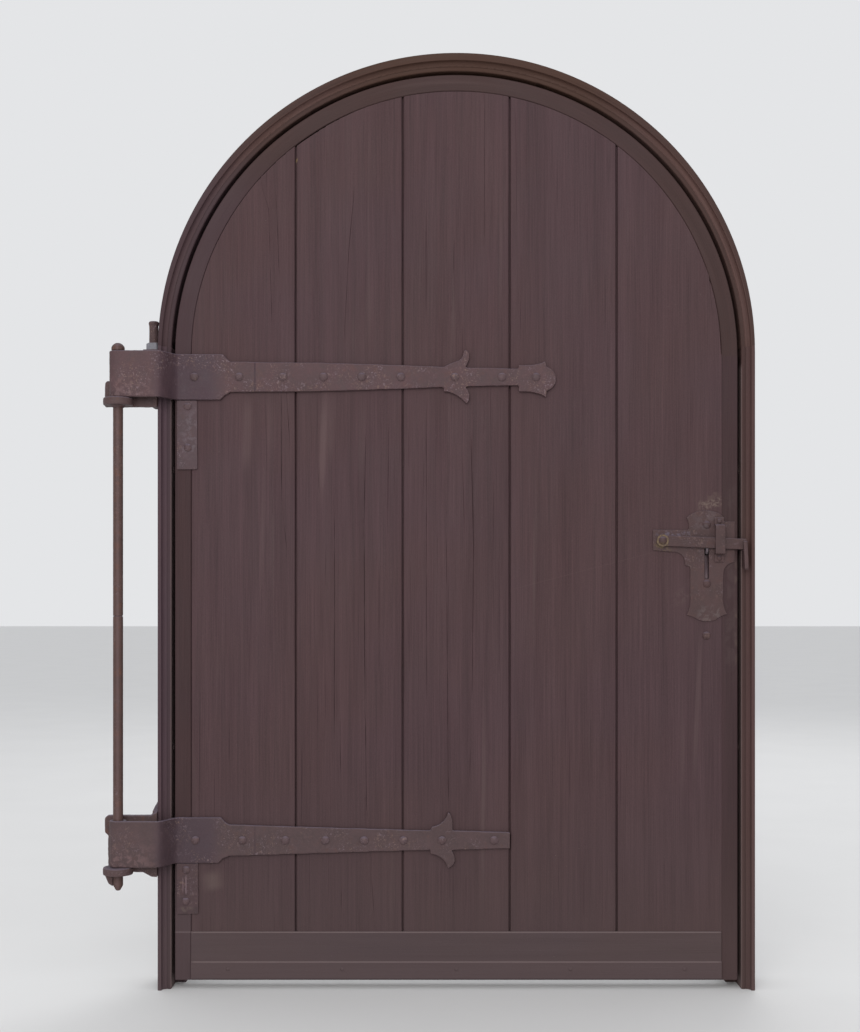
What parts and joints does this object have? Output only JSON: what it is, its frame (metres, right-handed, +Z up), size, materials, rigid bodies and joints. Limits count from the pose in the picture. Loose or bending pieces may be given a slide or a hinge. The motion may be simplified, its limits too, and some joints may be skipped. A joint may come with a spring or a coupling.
{
  "type": "arched wooden door",
  "caption": "Round-arched ledged wooden door in its moulded timber frame, hung on forged strap hinges and long rods, with a lift latch, catch and inside grip.",
  "frame": {"origin": "middle of the doorway at floor level, in the plane of the leaf's front face", "axes": "+Z up, -Y out of the front, the side the door opens to; +X towards the latch"},
  "size_m": [1.391, 0.1745, 2.0089],
  "materials": {
    "frame_paint": "old matt paint over planed timber",
    "bare_oak": "bare turned oak",
    "leaf_paint": "old matt paint over planed boards, checked along the grain",
    "strap_iron": "hand-forged iron, painted with the door, chipped and rusted",
    "bolt_iron": "hammered heads, painted with the door",
    "rod_iron": "round bar, rusty under thin paint",
    "bracket_iron": "forged, thinly painted, rusty",
    "grey_nut": "zinc-coated, dull",
    "latch_iron": "forged plate, painted with the door, rubbed at the edges",
    "inside_iron": "forged, thinly painted",
    "cream_ring": "cream and rust-yellow crust",
    "worn_steel": "bare, polished by use"
  },
  "bodies": {
    "frame": {"frame_post_left": "frame_paint", "frame_post_right": "frame_paint", "frame_head_left": "frame_paint", "frame_head_middle": "frame_paint", "frame_head_right": "frame_paint", "frame_dowels": "bare_oak", "upper_bracket": "bracket_iron", "lower_bracket": "bracket_iron", "bracket_bolts": "bolt_iron", "upper_hinge_rod": "rod_iron", "lower_hinge_rod": "rod_iron", "bracket_stud": "rod_iron", "stud_nuts": "grey_nut", "latch_catch": "latch_iron"},
    "leaf": {"rim_dowels": "bare_oak", "plank_1": "leaf_paint", "plank_2": "leaf_paint", "plank_3": "leaf_paint", "plank_4": "leaf_paint", "plank_5": "leaf_paint", "stile_left": "leaf_paint", "stile_right": "leaf_paint", "rim_left": "leaf_paint", "rim_middle": "leaf_paint", "rim_right": "leaf_paint", "bottom_rail": "leaf_paint", "drip_board": "leaf_paint", "ledge_upper": "leaf_paint", "ledge_middle": "leaf_paint", "ledge_lower": "leaf_paint", "strap_upper": "strap_iron", "strap_lower": "strap_iron", "stile_plate_upper": "strap_iron", "stile_plate_lower": "strap_iron", "strap_bolts_upper": "bolt_iron", "strap_bolts_lower": "bolt_iron", "strap_roves": "bolt_iron", "stile_plate_nails": "bolt_iron", "drip_nails": "bolt_iron", "latch_plate": "latch_iron", "latch_rivets": "latch_iron", "keeper": "latch_iron", "keeper_rivets": "latch_iron", "pivot_bolt": "latch_iron", "pivot_nut": "latch_iron", "handle_bolts": "latch_iron", "inside_plate": "inside_iron", "lever_pin": "inside_iron", "grasp_handle": "inside_iron", "ledge_screws": "inside_iron", "pivot_washer": "cream_ring"},
    "latch_bar": {"latch_bar": "latch_iron"},
    "lift_lever": {"lift_lever": "worn_steel"}
  },
  "joints": [
    {"name": "leaf_hinge", "type": "hinge", "parent": "frame", "child": "leaf", "pos_m": [-0.718, -0.041, 0.818], "axis": [0, 0, -1], "range_deg": [0, 170]},
    {"name": "latch_lift", "type": "hinge", "parent": "leaf", "child": "latch_bar", "pos_m": [0.442, -0.0074, 0.964], "axis": [0, -1, 0], "range_deg": [0, 9]},
    {"name": "lever_lift", "type": "hinge", "parent": "leaf", "child": "lift_lever", "pos_m": [0.538, 0.063, 0.942], "axis": [-1, 0, 0], "range_deg": [0, 12]}
  ],
  "couplings": [
    {"joint": "lever_lift", "follows": "latch_lift", "ratio": 1.33}
  ]
}
